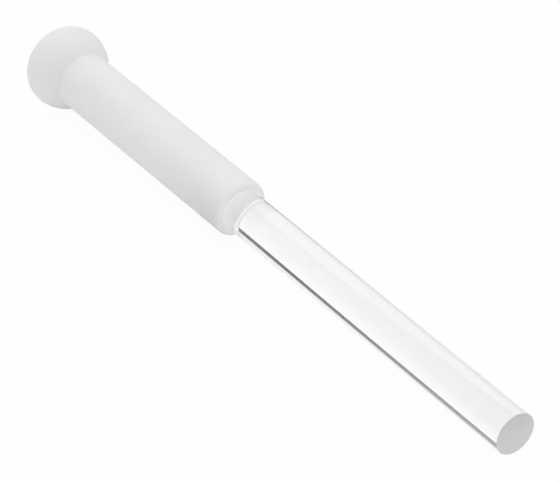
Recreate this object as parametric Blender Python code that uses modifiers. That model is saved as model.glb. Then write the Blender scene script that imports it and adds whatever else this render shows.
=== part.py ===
"""Singing bowl wand: a clear acrylic bar with a white silicone striker pushed over it.

Metres, +Z up. The wand lies level and its axis is the X axis: the bar's free end faces +X and
the striker's head is at -X. The origin is in the middle of the bare bar, where a hand holds it.
"""

import math

import bpy

# Driving dimensions: the acrylic bar
BAR_DIAMETER = 0.020
BAR_END_CHAMFER = 0.0003
BARE_LENGTH = 0.192           # from the bar's free end to the mouth of the sleeve

# Driving dimensions: the sleeve
BORE_CLEARANCE = 0.0003       # between the bar and the bore, all round and at the bar's far end
SLEEVE_WALL = 0.00345
SLEEVE_LENGTH = 0.140         # from the mouth to the widest place of the head
MOUTH_LEAD_IN = 0.0004        # rounding where the bore opens
MOUTH_LAND = 0.00045          # flat ring between the lead-in and the sleeve's rounded outer edge
BORE_CORNER_RADIUS = 0.0005   # rounding at the closed end of the bore

# Driving dimensions: the head
HEAD_DIAMETER = 0.040
HEAD_BACK_RADIUS = 0.019      # from the neck out to the widest place
HEAD_SHOULDER_RADIUS = 0.012  # from the widest place round to the crown
HEAD_CROWN_RADIUS = 0.040     # the shallow dome on the end
NECK_FILLET_RADIUS = 0.0025
HEAD_FRONT_WALL = 0.015       # silicone between the bore's closed end and the top of the crown

# Facets
ROUND_STEPS = 80
SHARP_ANGLE = math.radians(30)
MERGE_DISTANCE = 0.000001

# Sizes that follow. Profiles are pairs (radius, height), with height 0 at the bar's free end.
BAR_RADIUS = BAR_DIAMETER / 2
BORE_RADIUS = BAR_RADIUS + BORE_CLEARANCE
SLEEVE_RADIUS = BORE_RADIUS + SLEEVE_WALL
SLEEVE_EDGE_RADIUS = SLEEVE_WALL - MOUTH_LEAD_IN - MOUTH_LAND
HEAD_RADIUS = HEAD_DIAMETER / 2
MOUTH_HEIGHT = -BARE_LENGTH
WIDEST_HEIGHT = MOUTH_HEIGHT - SLEEVE_LENGTH

# The crown's centre is on the axis, where the crown meets the shoulder without a corner
SHOULDER_CENTRE_RADIUS = HEAD_RADIUS - HEAD_SHOULDER_RADIUS
CROWN_CENTRE_HEIGHT = WIDEST_HEIGHT + math.sqrt(
    (HEAD_CROWN_RADIUS - HEAD_SHOULDER_RADIUS) ** 2 - SHOULDER_CENTRE_RADIUS ** 2)
TIP_HEIGHT = CROWN_CENTRE_HEIGHT - HEAD_CROWN_RADIUS
BORE_END_HEIGHT = TIP_HEIGHT + HEAD_FRONT_WALL
BAR_FAR_END_HEIGHT = BORE_END_HEIGHT + BORE_CLEARANCE
GRIP_HEIGHT = MOUTH_HEIGHT / 2


def arc(centre, radius, start_degrees, end_degrees, steps):
    """Points of an arc in the profile's plane, both ends included, 0 degrees pointing outwards."""
    points = []
    for i in range(steps + 1):
        angle = math.radians(start_degrees + (end_degrees - start_degrees) * i / steps)
        points.append((centre[0] + radius * math.cos(angle), centre[1] + radius * math.sin(angle)))
    return points


def bar_profile():
    """The bar's end face, its chamfered edge, its side and the same at its far end."""
    face_radius = BAR_RADIUS - BAR_END_CHAMFER
    return [
        (0.0, 0.0),
        (face_radius, 0.0),
        (BAR_RADIUS, -BAR_END_CHAMFER),
        (BAR_RADIUS, BAR_FAR_END_HEIGHT + BAR_END_CHAMFER),
        (face_radius, BAR_FAR_END_HEIGHT),
        (0.0, BAR_FAR_END_HEIGHT),
    ]


def bore_profile():
    """From the closed end of the bore, on the axis, up its wall to the face of the mouth."""
    corner = (BORE_RADIUS - BORE_CORNER_RADIUS, BORE_END_HEIGHT + BORE_CORNER_RADIUS)
    lead_in = (BORE_RADIUS + MOUTH_LEAD_IN, MOUTH_HEIGHT - MOUTH_LEAD_IN)
    points = [(0.0, BORE_END_HEIGHT)]
    points += arc(corner, BORE_CORNER_RADIUS, -90, 0, 3)
    points += arc(lead_in, MOUTH_LEAD_IN, 180, 90, 3)
    return points


def sleeve_profile():
    """The sleeve's rounded outer edge at the mouth. The next point makes its straight side."""
    edge = (SLEEVE_RADIUS - SLEEVE_EDGE_RADIUS, MOUTH_HEIGHT - SLEEVE_EDGE_RADIUS)
    return arc(edge, SLEEVE_EDGE_RADIUS, 90, 0, 8)


def head_profile():
    """Neck fillet, back, shoulder and crown: four arcs, each running smoothly into the next."""
    back_centre = (HEAD_RADIUS - HEAD_BACK_RADIUS, WIDEST_HEIGHT)
    fillet_radius_from_axis = SLEEVE_RADIUS + NECK_FILLET_RADIUS
    across = fillet_radius_from_axis - back_centre[0]
    along = math.sqrt((HEAD_BACK_RADIUS + NECK_FILLET_RADIUS) ** 2 - across ** 2)
    fillet_centre = (fillet_radius_from_axis, WIDEST_HEIGHT + along)
    neck_angle = math.degrees(math.atan2(along, across))

    shoulder_centre = (SHOULDER_CENTRE_RADIUS, WIDEST_HEIGHT)
    crown_centre = (0.0, CROWN_CENTRE_HEIGHT)
    crown_angle = -math.degrees(math.atan2(CROWN_CENTRE_HEIGHT - WIDEST_HEIGHT, SHOULDER_CENTRE_RADIUS))

    points = arc(fillet_centre, NECK_FILLET_RADIUS, 180, 180 + neck_angle, 6)
    points += arc(back_centre, HEAD_BACK_RADIUS, neck_angle, 0, 12)[1:]
    points += arc(shoulder_centre, HEAD_SHOULDER_RADIUS, 0, crown_angle, 14)[1:]
    points += arc(crown_centre, HEAD_CROWN_RADIUS, crown_angle, -90, 5)[1:-1]
    points.append((0.0, TIP_HEIGHT))
    return points


def make_material(name, colour, roughness, transmission=0.0, ior=1.45, subsurface=0.0):
    material = bpy.data.materials.new(name)
    material.use_nodes = True
    shader = material.node_tree.nodes["Principled BSDF"]
    shader.inputs["Base Color"].default_value = (*colour, 1.0)
    shader.inputs["Metallic"].default_value = 0.0
    shader.inputs["Roughness"].default_value = roughness
    shader.inputs["IOR"].default_value = ior
    shader.inputs["Transmission Weight"].default_value = transmission
    shader.inputs["Subsurface Weight"].default_value = subsurface
    shader.inputs["Subsurface Scale"].default_value = 0.004
    material.diffuse_color = (*colour, 1.0)
    return material


def clear_acrylic():
    return make_material("clear_acrylic", (0.95, 0.96, 0.96), 0.03, transmission=1.0, ior=1.49)


def white_silicone():
    return make_material("white_silicone", (0.83, 0.83, 0.85), 0.55, ior=1.41, subsurface=0.3)


def turned(name, profile, material, collection, parent):
    """A piece turned about its own Z from a profile that runs down its outer side."""
    outline = bpy.data.meshes.new(name + "_profile")
    points = [(radius, 0.0, height) for radius, height in profile]
    edges = [(i, i + 1) for i in range(len(points) - 1)]
    outline.from_pydata(points, edges, [])
    piece = bpy.data.objects.new(name, outline)
    collection.objects.link(piece)
    piece.parent = parent

    screw = piece.modifiers.new("turn", "SCREW")
    screw.axis = "Z"
    screw.angle = math.tau
    screw.steps = ROUND_STEPS
    screw.render_steps = ROUND_STEPS
    screw.use_merge_vertices = True
    screw.merge_threshold = MERGE_DISTANCE

    # The turned faces are kept as a mesh, so that their round sides can be shaded smooth
    depsgraph = bpy.context.evaluated_depsgraph_get()
    mesh = bpy.data.meshes.new_from_object(piece.evaluated_get(depsgraph))
    mesh.name = name
    piece.modifiers.clear()
    piece.data = mesh
    bpy.data.meshes.remove(outline)
    mesh.shade_smooth()
    mesh.set_sharp_from_angle(angle=SHARP_ANGLE)
    mesh.materials.clear()
    mesh.materials.append(material)
    return piece


def make_handle_rod(collection, axis):
    return turned("handle_rod", bar_profile(), clear_acrylic(), collection, axis)


def make_striker(collection, axis):
    profile = bore_profile() + sleeve_profile() + head_profile()
    return turned("striker", profile, white_silicone(), collection, axis)


def main():
    for old in list(bpy.data.objects):
        bpy.data.objects.remove(old, do_unlink=True)

    collection = bpy.data.collections.new("singing_bowl_wand")
    bpy.context.scene.collection.children.link(collection)

    # The wand's axis, laid level: heights run along +X, with the middle of the grip at the origin
    axis = bpy.data.objects.new("wand_axis", None)
    axis.empty_display_size = 0.03
    axis.location = (-GRIP_HEIGHT, 0.0, 0.0)
    axis.rotation_euler = (0.0, math.pi / 2, 0.0)
    collection.objects.link(axis)

    make_handle_rod(collection, axis)
    make_striker(collection, axis)
    bpy.context.view_layer.update()


main()
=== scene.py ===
"""Singing bowl wand: the looks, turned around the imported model.

Metres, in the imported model's frame: the wand's axis is the X axis, the bar's free end faces +X
and the striker's head is at -X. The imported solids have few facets, so the clear bar and the white
silicone striker are turned again here with fine ones, to the same sizes.
"""

import math

import bmesh
import bpy
from mathutils import Matrix, Vector


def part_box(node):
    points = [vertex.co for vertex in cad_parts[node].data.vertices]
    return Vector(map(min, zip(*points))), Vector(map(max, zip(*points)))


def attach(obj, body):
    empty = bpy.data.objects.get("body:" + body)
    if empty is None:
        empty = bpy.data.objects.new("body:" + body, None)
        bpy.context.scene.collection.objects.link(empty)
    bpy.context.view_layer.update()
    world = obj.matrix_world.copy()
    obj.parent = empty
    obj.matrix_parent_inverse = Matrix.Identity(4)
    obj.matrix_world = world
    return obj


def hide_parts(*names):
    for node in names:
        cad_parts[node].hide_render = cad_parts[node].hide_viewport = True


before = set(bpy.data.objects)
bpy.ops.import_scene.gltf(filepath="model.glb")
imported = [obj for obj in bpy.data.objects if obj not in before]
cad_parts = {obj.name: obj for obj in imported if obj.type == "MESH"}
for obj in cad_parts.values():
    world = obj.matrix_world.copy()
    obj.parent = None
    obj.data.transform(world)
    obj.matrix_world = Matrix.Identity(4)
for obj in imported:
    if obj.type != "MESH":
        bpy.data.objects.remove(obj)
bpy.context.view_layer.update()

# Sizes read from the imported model
BAR_LOW, BAR_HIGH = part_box("handle_rod")
STRIKER_LOW, STRIKER_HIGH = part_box("striker")
BAR_RADIUS = BAR_HIGH.z
FREE_END = BAR_HIGH.x
FAR_END = BAR_LOW.x
MOUTH = STRIKER_HIGH.x
TIP = STRIKER_LOW.x
HEAD_RADIUS = STRIKER_HIGH.z

# Sizes that the boxes don't give
END_EDGE_RADIUS = 0.0003      # the bar's softened edges
STRETCH_GAP = 0.00004         # the silicone grips the bar, so the bore lies close round it
BORE_CORNER_RADIUS = 0.0005
MOUTH_LEAD_IN = 0.0004
GRIP_INSET = 0.0001           # from the face of the mouth to where the silicone grips the bar
SLEEVE_RADIUS = 0.01375
SLEEVE_EDGE_RADIUS = 0.0026
NECK_FILLET_RADIUS = 0.0025
HEAD_BACK_RADIUS = 0.019
HEAD_SHOULDER_RADIUS = 0.012
HEAD_CROWN_RADIUS = 0.040

# Sizes of the head that follow. The crown's centre is on the axis.
SHOULDER_OUT = HEAD_RADIUS - HEAD_SHOULDER_RADIUS
CROWN_CENTRE = TIP + HEAD_CROWN_RADIUS
CROWN_ALONG = math.sqrt((HEAD_CROWN_RADIUS - HEAD_SHOULDER_RADIUS) ** 2 - SHOULDER_OUT ** 2)
WIDEST = CROWN_CENTRE - CROWN_ALONG

# Facets
BAR_STEPS = 512
STRIKER_STEPS = 320
BAR_RINGS = 24
BAR_FACE_RINGS = 4
BAR_EDGE_RINGS = 6
BORE_RINGS = 8
BORE_CORNER_RINGS = 6
LEAD_IN_RINGS = 8
SLEEVE_RINGS = 32
SLEEVE_EDGE_RINGS = 24
NECK_RINGS = 16
HEAD_BACK_RINGS = 40
HEAD_SHOULDER_RINGS = 40
HEAD_CROWN_RINGS = 20
BORDER = 0.00005              # from an arc's end to the first ring of the straight beside it
WELD_DISTANCE = 0.0000001

# The camera, from the photograph
VIEW_AZIMUTH = math.radians(53.40)
VIEW_ELEVATION = math.radians(37.44)
VIEW_DISTANCE = 1.6424
VIEW_AIM = Vector((-0.06789, 0.00023, -0.00007))
VIEW_LENS = 238.83
VIEW_SENSOR = 36.0
VIEW_CLIP = (0.1, 20.0)

# Colours
WHITE = (1.0, 1.0, 1.0, 1.0)
BLACK = (0.0, 0.0, 0.0, 1.0)

# The clear acrylic. The other materials' noises, bumps and spans are given in the same way.
ACRYLIC_IOR = 1.49
CLEAR_COLOUR = (0.99, 0.99, 0.992, 1.0)
CLEAR_STRETCH = (12.0, 900.0, 900.0)    # draws the lines out along the bar
CLEAR_LINE_NOISE = (1.0, 3.0, 0.5)      # the noise's scale, detail and roughness
CLEAR_LINE_BUMP = (0.0000015, 0.3)      # the bump's depth and strength
CLEAR_HANDLED_NOISE = (45.0, 4.0, 0.5)
CLEAR_HANDLED_SPAN = (0.35, 0.7)        # the noise's values between which its effect runs
CLEAR_ROUGHNESS = (0.004, 0.02)
CLEAR_PREVIEW = (0.95, 0.96, 0.96, 0.3)

# The bar's ground end
GROUND_TONES = ((0.570, 0.565, 0.565, 1.0), (0.610, 0.605, 0.605, 1.0))
# painted light: the colour of the end low down
GROUND_PAINTED_LOW_LIGHT = (0.735, 0.730, 0.729, 1.0)
GROUND_GRAIN_TONE = (0.68, 0.68, 0.68, 1.0)
GROUND_GRAIN_SHARE = 0.35
GROUND_GRAIN_NOISE = (5200.0, 3.0, 0.7)
GROUND_GRAIN_SPAN = (0.3, 0.75)
GROUND_GRAIN_BUMP = (0.00001, 0.5)
GROUND_CLOUD_NOISE = (260.0, 3.0, 0.5)
GROUND_CLOUD_SPAN = (0.3, 0.7)
GROUND_ROUGHNESS = (0.50, 0.62)
GROUND_RINGS = {"Scale": 420.0, "Distortion": 1.2, "Detail": 2.0, "Detail Scale": 1.5}
GROUND_RING_BUMP = (0.000012, 0.35)
GROUND_PREVIEW = (0.6, 0.6, 0.605, 1.0)

# The silicone
SILICONE_IOR = 1.41
SILICONE_COLOURS = ((0.800, 0.799, 0.815, 1.0), (0.822, 0.821, 0.836, 1.0))
SILICONE_CLOUD_NOISE = (70.0, 4.0, 0.5)
SILICONE_CLOUD_SPAN = (0.3, 0.7)
SILICONE_ROUGHNESS = (0.50, 0.60)
SILICONE_SKIN_NOISE = (3200.0, 2.0, 0.6)
SILICONE_SKIN_BUMP = (0.000012, 0.5)
SILICONE_SUBSURFACE = 0.35
SILICONE_SUBSURFACE_REACH = 0.003
SILICONE_SUBSURFACE_RATIO = (1.0, 0.97, 0.94)
SILICONE_PREVIEW = (0.81, 0.81, 0.83, 1.0)

# The bar's side inside the sleeve
GRIPPED_COLOURS = ((0.89, 0.89, 0.89, 1.0), (0.91, 0.91, 0.91, 1.0))
GRIPPED_NOISE = (160.0, 3.0, 0.5)
GRIPPED_SPAN = (0.35, 0.65)
GRIPPED_ROUGHNESS = (0.55, 0.65)

# Painted light, a glow for the light through the silicone. Depths are from the face of the mouth.
SOAKED_LIGHT = (0.110, 0.185)     # on the bar's side in the sleeve, at the two depths
SOAKED_DEPTHS = (0.0016, 0.0095)  # near the mouth and further in
MOUTH_LIGHT = 0.18                # more of it close to the mouth
MOUTH_DEPTH = 0.0013              # where that ends
LIP_LIGHT = 0.18                  # out of the silicone where the mouth meets the bar
LIP_REACH = 0.0042                # how far from there it fades out
GATHERED_LIGHT = 0.20             # more of it on the side to which the bar gathers light
GATHERED_REACH = 0.0025
GATHERED_TOWARDS = Vector((0.0, 0.6, -0.8))
GATHERED_NARROWNESS = 2.0

# The floor. The camera sees it nearly as plain white, and the rest of it has the wand's shadow.
FLOOR_SIZE = (0.90, 0.50)
FLOOR_GAP = 0.00005           # below the wand's lowest points
FLOOR_COLOUR = (0.97, 0.97, 0.97, 1.0)
FLOOR_GLOW = 0.95             # the share of plain white for the camera
FLOOR_GLOW_THROUGH = 0.68     # the same for what the bar shows and mirrors

# A painted shade on the floor under the bar, for what the bar shows and mirrors
UNDER_BAR_Y = 0.0061                   # y that it is measured from
UNDER_BAR_UNITS = (0.0021, 0.0069)     # its unit at the bar's free end and at UNDER_BAR_FAR
UNDER_BAR_FAR = -0.063
UNDER_BAR_SPREAD = (0.33, 0.48, 1.35)  # its near side, darkest line and far side, in units
UNDER_BAR_SHADE = 0.27                 # how much less plain white there is in its darkest line

# A dark cove behind the wand, which the camera doesn't see but the clear bar's edges show
COVE_FAR = 0.080              # y where it turns up from the floor
COVE_LIFT = 0.0002            # above the floor
COVE_MIRRORED = 0.75          # its darkness where it is only mirrored
COVE_COLUMNS = (              # x, y of nothing and dark, z of dark and nothing, darkness
    (-0.380, (0.030, 0.054), (-0.0155, -0.0010), 0.00),
    (-0.200, (0.030, 0.054), (-0.0155, -0.0010), 0.93),
    (-0.163, (0.030, 0.054), (-0.0110, 0.0045), 0.93),
    (-0.130, (0.030, 0.054), (-0.0069, 0.0095), 0.98),
    (-0.110, (0.030, 0.054), (-0.0045, 0.0125), 0.99),
    (-0.055, (0.047, 0.067), (0.0036, 0.0213), 0.94),
    (0.030, (0.071, 0.080), (0.0175, 0.0360), 0.87),
    (0.120, (0.075, 0.080), (0.0290, 0.0510), 0.78),
    (0.280, (0.075, 0.080), (0.0290, 0.0510), 0.00),
)

# Two dark strips on the floor, which the camera doesn't see either: painted shadow of the wand
STRIP_LIFT = 0.0004           # above the floor
STRIP_BEHIND_Y = (0.014, 0.022, 0.060, 0.070)  # y of nothing, dark, dark and nothing
STRIP_BEHIND = (              # x, darkness
    (-0.250, 0.00),
    (-0.180, 1.00),
    (-0.110, 0.95),
    (-0.086, 0.72),
    (-0.063, 0.58),
    (-0.040, 0.50),
    (-0.017, 0.42),
    (0.120, 0.46),
    (0.280, 0.00),
)
STRIP_BESIDE = (              # x, y of nothing, dark, dark and nothing, darkness
    (-0.200, (-0.0158, -0.0144, -0.0094, -0.0082), 0.00),
    (-0.120, (-0.0158, -0.0144, -0.0094, -0.0082), 0.74),
    (-0.086, (-0.0156, -0.0142, -0.0093, -0.0081), 0.74),
    (-0.064, (-0.0139, -0.0126, -0.0091, -0.0079), 0.72),
    (-0.045, (-0.0127, -0.0115, -0.0089, -0.0077), 0.68),
    (0.000, (-0.0120, -0.0108, -0.0082, -0.0070), 0.52),
    (0.060, (-0.0108, -0.0097, -0.0076, -0.0066), 0.50),
    (0.100, (-0.0100, -0.0090, -0.0075, -0.0065), 0.60),
    (0.200, (-0.0100, -0.0090, -0.0075, -0.0065), 0.00),
)
DARK_FADING = 2.0             # how steeply the darkness of the cove and the strips falls off

# A small card in front of the sleeve, near its mouth, keeps some light off and isn't seen
CARD_CENTRE = Vector((-0.103, -0.042, -0.003))
CARD_SIZE = (0.018, 0.016)    # along the wand, up

# Light: a dome, the same from every side, and soft lamps in it
DOME_LEVEL = 0.635
DOME_LAMPS = (                # towards, narrowness, strength
    ((0.0, 0.0, 1.0), 1.0, 0.336),
    ((0.0, 0.0, 1.0), 4.0, 0.163),
    ((-0.6, 0.3, 0.74), 3.0, 0.261),
)

# Where a Mix node has its factor, its two colours and its result
MIX_FACTOR = 0
MIX_FIRST = 6
MIX_SECOND = 7
MIX_RESULT = 2


def arc(centre, radius, start_degrees, end_degrees, steps):
    """Points (x, radius) of an arc, 0 degrees pointing out from the axis and 90 towards +X."""
    points = []
    for i in range(steps + 1):
        angle = math.radians(start_degrees + (end_degrees - start_degrees) * i / steps)
        x = centre[0] + radius * math.sin(angle)
        points.append((x, centre[1] + radius * math.cos(angle)))
    return points


def straight(start, end, steps):
    """Points between two others, not on them: one close to each, which keeps the stretch between
    them shaded as straight, and the rest spread evenly."""
    length = math.dist(start, end)
    points = []
    for i in range(steps + 1):
        k = (BORDER + (length - 2 * BORDER) * i / steps) / length
        points.append((start[0] + (end[0] - start[0]) * k, start[1] + (end[1] - start[1]) * k))
    return points


def bar_profile():
    """The free end's face, its softened edge, the side, and the same at the far end."""
    edge_out = BAR_RADIUS - END_EDGE_RADIUS
    free_centre = (FREE_END - END_EDGE_RADIUS, edge_out)
    far_centre = (FAR_END + END_EDGE_RADIUS, edge_out)
    free_edge = arc(free_centre, END_EDGE_RADIUS, 90, 0, BAR_EDGE_RINGS)
    far_edge = arc(far_centre, END_EDGE_RADIUS, 0, -90, BAR_EDGE_RINGS)
    free_middle = (FREE_END, 0.0)
    far_middle = (FAR_END, 0.0)
    gripped = (MOUTH - GRIP_INSET, BAR_RADIUS)

    points = [free_middle] + straight(free_middle, free_edge[0], BAR_FACE_RINGS) + free_edge
    points += straight(free_edge[-1], gripped, BAR_RINGS) + [gripped]
    points += straight(gripped, far_edge[0], BAR_RINGS) + far_edge
    points += straight(far_edge[-1], far_middle, BAR_FACE_RINGS) + [far_middle]
    return points


def bore_profile():
    """From the closed end of the bore, on the axis, along its wall to the face of the mouth."""
    bore_radius = BAR_RADIUS + STRETCH_GAP
    bore_end = FAR_END - STRETCH_GAP
    corner_centre = (bore_end + BORE_CORNER_RADIUS, bore_radius - BORE_CORNER_RADIUS)
    lead_in_centre = (MOUTH - MOUTH_LEAD_IN, bore_radius + MOUTH_LEAD_IN)
    corner = arc(corner_centre, BORE_CORNER_RADIUS, -90, 0, BORE_CORNER_RINGS)
    lead_in = arc(lead_in_centre, MOUTH_LEAD_IN, 180, 90, LEAD_IN_RINGS)
    return [(bore_end, 0.0)] + corner + straight(corner[-1], lead_in[0], BORE_RINGS) + lead_in


def head_profile():
    """Neck fillet, back, shoulder and crown: four arcs, each running smoothly into the next."""
    back_centre = (WIDEST, HEAD_RADIUS - HEAD_BACK_RADIUS)
    shoulder_centre = (WIDEST, SHOULDER_OUT)
    crown_centre = (CROWN_CENTRE, 0.0)
    fillet_out = SLEEVE_RADIUS + NECK_FILLET_RADIUS
    across = fillet_out - back_centre[1]
    along = math.sqrt((HEAD_BACK_RADIUS + NECK_FILLET_RADIUS) ** 2 - across ** 2)
    fillet_centre = (WIDEST + along, fillet_out)
    neck_angle = math.degrees(math.atan2(along, across))
    crown_angle = -math.degrees(math.atan2(CROWN_ALONG, SHOULDER_OUT))

    points = arc(fillet_centre, NECK_FILLET_RADIUS, 180, 180 + neck_angle, NECK_RINGS)
    points += arc(back_centre, HEAD_BACK_RADIUS, neck_angle, 0, HEAD_BACK_RINGS)[1:]
    points += arc(shoulder_centre, HEAD_SHOULDER_RADIUS, 0, crown_angle, HEAD_SHOULDER_RINGS)[1:]
    points += arc(crown_centre, HEAD_CROWN_RADIUS, crown_angle, -90, HEAD_CROWN_RINGS)[1:-1]
    points.append((TIP, 0.0))
    return points


def striker_profile():
    """The bore, the flat ring at the mouth, the sleeve's rounded edge and side, and the head."""
    edge_centre = (MOUTH - SLEEVE_EDGE_RADIUS, SLEEVE_RADIUS - SLEEVE_EDGE_RADIUS)
    bore = bore_profile()
    edge = arc(edge_centre, SLEEVE_EDGE_RADIUS, 90, 0, SLEEVE_EDGE_RINGS)
    head = head_profile()
    land = straight(bore[-1], edge[0], 1)
    return bore + land + edge + straight(edge[-1], head[0], SLEEVE_RINGS) + head


def placed(name, data):
    """An object of some data in the scene."""
    made = bpy.data.objects.new(name, data)
    bpy.context.scene.collection.objects.link(made)
    return made


def turned(name, profile, steps):
    """A closed piece turned about the X axis from (x, radius) points."""
    bm = bmesh.new()
    verts = [bm.verts.new((x, 0.0, radius)) for x, radius in profile]
    edges = [bm.edges.new(pair) for pair in zip(verts, verts[1:])]
    bmesh.ops.spin(
        bm, geom=verts + edges, cent=(0.0, 0.0, 0.0), axis=(1.0, 0.0, 0.0),
        angle=math.tau, steps=steps, use_merge=True)
    bmesh.ops.remove_doubles(bm, verts=bm.verts, dist=WELD_DISTANCE)
    bmesh.ops.recalc_face_normals(bm, faces=bm.faces)
    mesh = bpy.data.meshes.new(name)
    bm.to_mesh(mesh)
    bm.free()
    mesh.shade_smooth()
    return placed(name, mesh)


def rectangle(name, first_side, second_side):
    """A flat piece round the origin, with its two sides given as vectors."""
    a = Vector(first_side) / 2
    b = Vector(second_side) / 2
    mesh = bpy.data.meshes.new(name)
    mesh.from_pydata([-a - b, a - b, a + b, b - a], [], [(0, 1, 2, 3)])
    return placed(name, mesh)


class Shader:
    """A material's or the world's nodes, added one by one."""

    def __init__(self, owner):
        owner.use_nodes = True
        self.nodes = owner.node_tree.nodes
        self.links = owner.node_tree.links
        self.nodes.clear()

    def feed(self, socket, value):
        """Links another node's output to an input, or sets a number or a colour on it."""
        if isinstance(value, bpy.types.NodeSocket):
            self.links.new(value, socket)
        else:
            socket.default_value = value

    def add(self, kind, inputs=None, **settings):
        """A node with its settings and inputs."""
        made = self.nodes.new("ShaderNode" + kind)
        for name, value in settings.items():
            setattr(made, name, value)
        for name, value in (inputs or {}).items():
            self.feed(made.inputs[name], value)
        return made

    def place(self):
        """The place on the piece, in its own coordinates."""
        return self.add("TexCoord").outputs["Object"]

    def parts(self, vector):
        """A vector's X, Y and Z."""
        return self.add("SeparateXYZ", {"Vector": vector}).outputs

    def length(self, vector):
        return self.add("VectorMath", {0: vector}, operation="LENGTH").outputs["Value"]

    def lobe(self, way, towards, narrowness):
        """Greatest where a direction is the given one, falling to 0 at right angles to it."""
        directions = {0: way, 1: towards}
        facing = self.add("VectorMath", directions, operation="DOT_PRODUCT").outputs["Value"]
        return self.math("POWER", self.math("MAXIMUM", facing, 0.0), narrowness)

    def noise(self, vector, scale, detail, roughness):
        inputs = {"Vector": vector, "Scale": scale, "Detail": detail, "Roughness": roughness}
        return self.add("TexNoise", inputs).outputs["Fac"]

    def between(self, value, low, high, new_low, new_high):
        """value, from low to high, made new_low to new_high."""
        old = {"Value": value, "From Min": low, "From Max": high}
        new = {"To Min": new_low, "To Max": new_high}
        return self.add("MapRange", {**old, **new}).outputs["Result"]

    def blend(self, factor, first, second):
        """Two colours mixed by a factor from 0 to 1."""
        made = self.add("Mix", data_type="RGBA")
        self.feed(made.inputs[MIX_FACTOR], factor)
        self.feed(made.inputs[MIX_FIRST], first)
        self.feed(made.inputs[MIX_SECOND], second)
        return made.outputs[MIX_RESULT]

    def math(self, operation, first, second):
        return self.add("Math", {0: first, 1: second}, operation=operation).outputs[0]

    def bump(self, height, distance, strength, normal=None):
        inputs = {"Height": height, "Distance": distance, "Strength": strength}
        if normal is not None:
            inputs["Normal"] = normal
        return self.add("Bump", inputs).outputs["Normal"]

    def mix(self, share, first, second):
        """Two shaders, the second one in the given share."""
        return self.add("MixShader", {"Fac": share, 1: first, 2: second}).outputs["Shader"]


def new_material(name):
    """A material without nodes yet, and the shader that adds them."""
    material = bpy.data.materials.new(name)
    return material, Shader(material)


def finished(material, shader, surface, preview=None):
    """The material with its surface, and with the colour that it has in a plain preview."""
    shader.add("OutputMaterial", {"Surface": surface})
    if preview is not None:
        material.diffuse_color = preview
    return material


def clear_acrylic():
    """Polished cast acrylic: faint lines along the bar, and a few softer places from handling."""
    material, shader = new_material("clear_acrylic")
    place = shader.place()
    stretched = shader.add("Mapping", {"Vector": place, "Scale": CLEAR_STRETCH}).outputs["Vector"]
    lines = shader.noise(stretched, *CLEAR_LINE_NOISE)
    handled = shader.noise(place, *CLEAR_HANDLED_NOISE)
    principled = shader.add("BsdfPrincipled", {
        "Base Color": CLEAR_COLOUR,
        "Metallic": 0.0,
        "Roughness": shader.between(handled, *CLEAR_HANDLED_SPAN, *CLEAR_ROUGHNESS),
        "IOR": ACRYLIC_IOR,
        "Transmission Weight": 1.0,
        "Normal": shader.bump(lines, *CLEAR_LINE_BUMP),
    })
    return finished(material, shader, principled.outputs["BSDF"], CLEAR_PREVIEW)


def ground_acrylic():
    """The bar's faced and ground end: a grey frosted disc with fine rings from turning. Painted
    light makes it lighter low down, for the light from inside the bar that leaves through it."""
    material, shader = new_material("ground_acrylic")
    place = shader.place()
    grain = shader.noise(place, *GROUND_GRAIN_NOISE)
    cloud = shader.noise(place, *GROUND_CLOUD_NOISE)
    turning = {"Vector": place, **GROUND_RINGS}
    rings = shader.add("TexWave", turning, wave_type="RINGS", rings_direction="X").outputs["Fac"]
    # painted light: the colour is lighter towards the bottom of the end
    low = shader.between(shader.parts(place)["Z"], -BAR_RADIUS, BAR_RADIUS, 1.0, 0.0)
    speckle = shader.between(grain, *GROUND_GRAIN_SPAN, 0.0, GROUND_GRAIN_SHARE)
    tone_and_painted_light = shader.blend(low, shader.blend(cloud, *GROUND_TONES), GROUND_PAINTED_LOW_LIGHT)
    coarse = shader.bump(rings, *GROUND_RING_BUMP)
    principled = shader.add("BsdfPrincipled", {
        "Base Color": shader.blend(speckle, tone_and_painted_light, GROUND_GRAIN_TONE),
        "Metallic": 0.0,
        "Roughness": shader.between(cloud, *GROUND_CLOUD_SPAN, *GROUND_ROUGHNESS),
        "IOR": ACRYLIC_IOR,
        "Normal": shader.bump(grain, *GROUND_GRAIN_BUMP, normal=coarse),
    })
    return finished(material, shader, principled.outputs["BSDF"], GROUND_PREVIEW)


def painted_lip_glow(shader, place):
    """Painted light: a glow out of the silicone round the ring where the mouth meets the bar."""
    parts = shader.parts(place)
    around = shader.add("CombineXYZ", {"Y": parts["Y"], "Z": parts["Z"]}).outputs["Vector"]
    offset = shader.add("CombineXYZ", {
        "X": shader.math("SUBTRACT", parts["X"], MOUTH),
        "Y": shader.math("SUBTRACT", shader.length(around), BAR_RADIUS),
    })
    away = shader.length(offset.outputs["Vector"])
    outwards = shader.add("VectorMath", {0: around}, operation="NORMALIZE").outputs["Vector"]
    side = shader.lobe(outwards, GATHERED_TOWARDS, GATHERED_NARROWNESS)
    close = shader.between(away, 0.0, GATHERED_REACH, GATHERED_LIGHT, 0.0)
    even = shader.between(away, 0.0, LIP_REACH, LIP_LIGHT, 0.0)
    return shader.math("ADD", shader.math("MULTIPLY", side, close), even)


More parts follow.
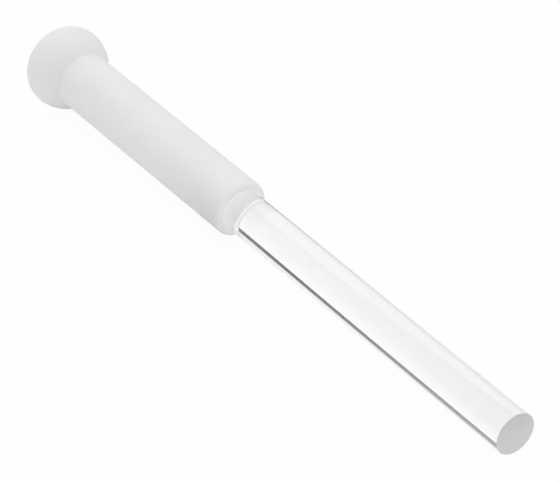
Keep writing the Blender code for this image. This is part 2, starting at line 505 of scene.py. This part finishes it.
def white_silicone():
    """Matte moulded silicone that lets a little light in, with a fine skin and faint clouding."""
    material, shader = new_material("white_silicone")
    place = shader.place()
    cloud = shader.noise(place, *SILICONE_CLOUD_NOISE)
    skin = shader.noise(place, *SILICONE_SKIN_NOISE)
    clouding = shader.between(cloud, *SILICONE_CLOUD_SPAN, 0.0, 1.0)
    principled = shader.add("BsdfPrincipled", {
        "Base Color": shader.blend(clouding, *SILICONE_COLOURS),
        "Metallic": 0.0,
        "Roughness": shader.between(cloud, *SILICONE_CLOUD_SPAN, *SILICONE_ROUGHNESS),
        "IOR": SILICONE_IOR,
        "Subsurface Weight": SILICONE_SUBSURFACE,
        "Subsurface Radius": SILICONE_SUBSURFACE_RATIO,
        "Subsurface Scale": SILICONE_SUBSURFACE_REACH,
        "Emission Color": WHITE,
        # painted light: the silicone glows round the mouth
        "Emission Strength": painted_lip_glow(shader, place),
        "Normal": shader.bump(skin, *SILICONE_SKIN_BUMP),
    })
    return finished(material, shader, principled.outputs["BSDF"], SILICONE_PREVIEW)


def gripped_acrylic():
    """The bar's side inside the sleeve. The silicone lies tight on it and shows through the
    bar. Its glow is painted light, for the light that comes through the silicone."""
    material, shader = new_material("gripped_acrylic")
    place = shader.place()
    contact = shader.noise(place, *GRIPPED_NOISE)
    patches = shader.between(contact, *GRIPPED_SPAN, 0.0, 1.0)
    depth = shader.math("SUBTRACT", MOUTH, shader.parts(place)["X"])
    painted_soaked_light = shader.between(depth, *SOAKED_DEPTHS, *SOAKED_LIGHT)
    painted_mouth_light = shader.between(depth, 0.0, MOUTH_DEPTH, MOUTH_LIGHT, 0.0)
    principled = shader.add("BsdfPrincipled", {
        "Base Color": shader.blend(patches, *GRIPPED_COLOURS),
        "Metallic": 0.0,
        "Roughness": shader.between(contact, *GRIPPED_SPAN, *GRIPPED_ROUGHNESS),
        "IOR": SILICONE_IOR,
        "Emission Color": WHITE,
        # painted light: a glow for the light through the silicone, stronger near the mouth
        "Emission Strength": shader.math("ADD", painted_soaked_light, painted_mouth_light),
    })
    return finished(material, shader, principled.outputs["BSDF"], SILICONE_PREVIEW)


def make_bar():
    """The bar, with its ground end as the second of its materials and its side inside the sleeve
    as the third."""
    bar = turned("acrylic_bar", bar_profile(), BAR_STEPS)
    for material in (clear_acrylic(), ground_acrylic(), gripped_acrylic()):
        bar.data.materials.append(material)
    for face in bar.data.polygons:
        if face.center.x > FREE_END - END_EDGE_RADIUS:
            face.material_index = 1
        elif face.center.x < MOUTH - GRIP_INSET:
            face.material_index = 2
    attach(bar, "root")
    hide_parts("handle_rod")


def make_striker():
    striker = turned("silicone_striker", striker_profile(), STRIKER_STEPS)
    striker.data.materials.append(white_silicone())
    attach(striker, "root")
    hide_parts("striker")


def resting_plane():
    """A point and the normal of the plane that the wand rests on, with its head and its free
    end."""
    back_centre = Vector((WIDEST, 0.0, HEAD_BACK_RADIUS - HEAD_RADIUS))
    bar_corner = Vector((FREE_END - END_EDGE_RADIUS, 0.0, -BAR_RADIUS))
    across = bar_corner - back_centre
    tilt = math.asin(HEAD_BACK_RADIUS / across.length) - math.atan2(-across.z, across.x)
    normal = Vector((-math.sin(tilt), 0.0, math.cos(tilt)))
    return bar_corner - normal * FLOOR_GAP, normal


def floor_height(x):
    point, normal = resting_plane()
    return point.z - (x - point.x) * normal.x / normal.z


def painted_under_bar_shade(shader):
    """1 in the darkest line of the painted shade under the bar on the floor, 0 outside the shade.
    """
    place = shader.parts(shader.add("NewGeometry").outputs["Position"])
    unit = shader.between(place["X"], FREE_END, UNDER_BAR_FAR, *UNDER_BAR_UNITS)
    across = shader.math("DIVIDE", shader.math("SUBTRACT", place["Y"], UNDER_BAR_Y), unit)
    near, darkest, far = UNDER_BAR_SPREAD
    rising = shader.between(across, near, darkest, 0.0, 1.0)
    return shader.math("MULTIPLY", rising, shader.between(across, darkest, far, 1.0, 0.0))


def floor_material():
    """White paper. The camera sees it lit nearly to white, with the wand's shadow kept."""
    material, shader = new_material("floor_paper")
    path = shader.add("LightPath").outputs
    paper = shader.add("BsdfDiffuse", {"Color": FLOOR_COLOUR}).outputs["BSDF"]
    glow = shader.add("Emission", {"Color": WHITE, "Strength": 1.0}).outputs["Emission"]
    by_bar = shader.math("MAXIMUM", path["Is Glossy Ray"], path["Is Transmission Ray"])
    # painted shade under the bar, seen only through the bar and in its mirror
    shade = shader.math("MULTIPLY", painted_under_bar_shade(shader), UNDER_BAR_SHADE)
    through = shader.math("MULTIPLY", by_bar, shader.math("SUBTRACT", FLOOR_GLOW_THROUGH, shade))
    seen = shader.math("MULTIPLY", path["Is Camera Ray"], FLOOR_GLOW)
    share = shader.math("MAXIMUM", seen, through)
    return finished(material, shader, shader.mix(share, paper, glow))


def make_floor():
    floor = rectangle("floor", (FLOOR_SIZE[0], 0.0, 0.0), (0.0, FLOOR_SIZE[1], 0.0))
    floor.data.materials.append(floor_material())
    centre = (STRIKER_LOW + BAR_HIGH) / 2
    centre.z = floor_height(centre.x)
    tilt = Vector((0.0, 0.0, 1.0)).rotation_difference(resting_plane()[1])
    floor.matrix_world = Matrix.Translation(centre) @ tilt.to_matrix().to_4x4()


def dark_material(name, through, mirrored):
    """Black where the mesh's darkness is 1, and nothing where it is 0: in one share where it is
    seen through the bar, and in another where it is only mirrored."""
    material, shader = new_material(name)
    fading = shader.add("Attribute", attribute_name="darkness").outputs["Fac"]
    darkness = shader.math("POWER", fading, DARK_FADING)
    path = shader.add("LightPath").outputs
    only_mirrored = shader.math("SUBTRACT", path["Is Glossy Ray"], path["Is Transmission Ray"])
    share = shader.between(only_mirrored, 0.0, 1.0, through, mirrored)
    clear = shader.add("BsdfTransparent", {"Color": WHITE}).outputs["BSDF"]
    dark = shader.add("BsdfDiffuse", {"Color": BLACK}).outputs["BSDF"]
    mixed = shader.mix(shader.math("MULTIPLY", darkness, share), clear, dark)
    return finished(material, shader, mixed)


def make_dark(name, columns, through, mirrored):
    """A dark surface across columns of (x, y, z, darkness) points. Only the rays that the wand
    mirrors or lets through meet it."""
    rows = len(columns[0])
    faces = []
    for column in range(len(columns) - 1):
        for row in range(rows - 1):
            i = column * rows + row
            faces.append((i, i + rows, i + rows + 1, i + 1))
    points = [point for column in columns for point in column]
    mesh = bpy.data.meshes.new(name)
    mesh.from_pydata([point[:3] for point in points], [], faces)
    darkness = mesh.attributes.new("darkness", "FLOAT", "POINT")
    darkness.data.foreach_set("value", [point[3] for point in points])
    mesh.materials.append(dark_material(name, through, mirrored))
    dark = placed(name, mesh)
    dark.visible_camera = False
    dark.visible_diffuse = False
    dark.visible_shadow = False


def make_dark_cove():
    """It lies on the floor, turns up at its far side, and fades out all round."""
    columns = []
    for x, (near, full), (full_top, top), dark in COVE_COLUMNS:
        low = floor_height(x) + COVE_LIFT
        columns.append((
            (x, near, low, 0.0),
            (x, full, low, dark),
            (x, COVE_FAR, low, dark),
            (x, COVE_FAR, full_top, dark),
            (x, COVE_FAR, top, 0.0),
        ))
    make_dark("dark_cove", columns, through=1.0, mirrored=COVE_MIRRORED)


def strip_columns(strip):
    """The points of a strip on the floor, from its places x, four y each, and darkness."""
    columns = []
    for x, across, dark in strip:
        low = floor_height(x) + STRIP_LIFT
        columns.append([(x, y, low, k) for y, k in zip(across, (0.0, dark, dark, 0.0))])
    return columns


def make_dark_strips():
    """One behind the wand, which only the bar's upper edge mirrors, and one beside it, which
    shows at the bar's lower edge. Both are painted shadow of the wand on the floor."""
    # painted shadow of the wand on the floor, seen only in the bar
    behind = [(x, STRIP_BEHIND_Y, dark) for x, dark in STRIP_BEHIND]
    make_dark("painted_shadow_behind", strip_columns(behind), through=0.0, mirrored=1.0)
    make_dark("painted_shadow_beside", strip_columns(STRIP_BESIDE), through=1.0, mirrored=1.0)


def make_card():
    card = rectangle("card", (CARD_SIZE[0], 0.0, 0.0), (0.0, 0.0, CARD_SIZE[1]))
    material, shader = new_material("card_black")
    dark = shader.add("BsdfDiffuse", {"Color": BLACK}).outputs["BSDF"]
    card.data.materials.append(finished(material, shader, dark))
    card.location = CARD_CENTRE
    card.visible_camera = False
    card.visible_glossy = False
    card.visible_transmission = False


def make_world():
    """A white studio: a soft dome with soft lamps in it, seen as plain white by the camera and
    through the bar."""
    world = bpy.data.worlds.new("studio")
    bpy.context.scene.world = world
    shader = Shader(world)
    path = shader.add("LightPath").outputs
    way = shader.add("TexCoord").outputs["Generated"]
    strength = DOME_LEVEL
    for towards, narrowness, level in DOME_LAMPS:
        lamp = shader.math("MULTIPLY", shader.lobe(way, towards, narrowness), level)
        strength = shader.math("ADD", lamp, strength)
    lit = shader.add("Background", {"Color": WHITE, "Strength": strength}).outputs[0]
    plain = shader.add("Background", {"Color": WHITE, "Strength": 1.0}).outputs[0]
    seen = shader.math("MAXIMUM", path["Is Camera Ray"], path["Is Transmission Ray"])
    shader.add("OutputWorld", {"Surface": shader.mix(seen, lit, plain)})


def make_camera():
    data = bpy.data.cameras.new("camera")
    data.sensor_width = VIEW_SENSOR
    data.lens = VIEW_LENS
    data.clip_start, data.clip_end = VIEW_CLIP
    level = math.cos(VIEW_ELEVATION)
    back = Vector((
        math.sin(VIEW_AZIMUTH) * level,
        -math.cos(VIEW_AZIMUTH) * level,
        math.sin(VIEW_ELEVATION),
    ))
    camera = placed("camera", data)
    camera.location = VIEW_AIM + back * VIEW_DISTANCE
    camera.rotation_mode = "QUATERNION"
    camera.rotation_quaternion = (-back).to_track_quat("-Z", "Y")
    bpy.context.scene.camera = camera


bpy.context.scene.view_settings.view_transform = "Standard"
make_bar()
make_striker()
make_floor()
make_dark_cove()
make_dark_strips()
make_card()
make_world()
make_camera()
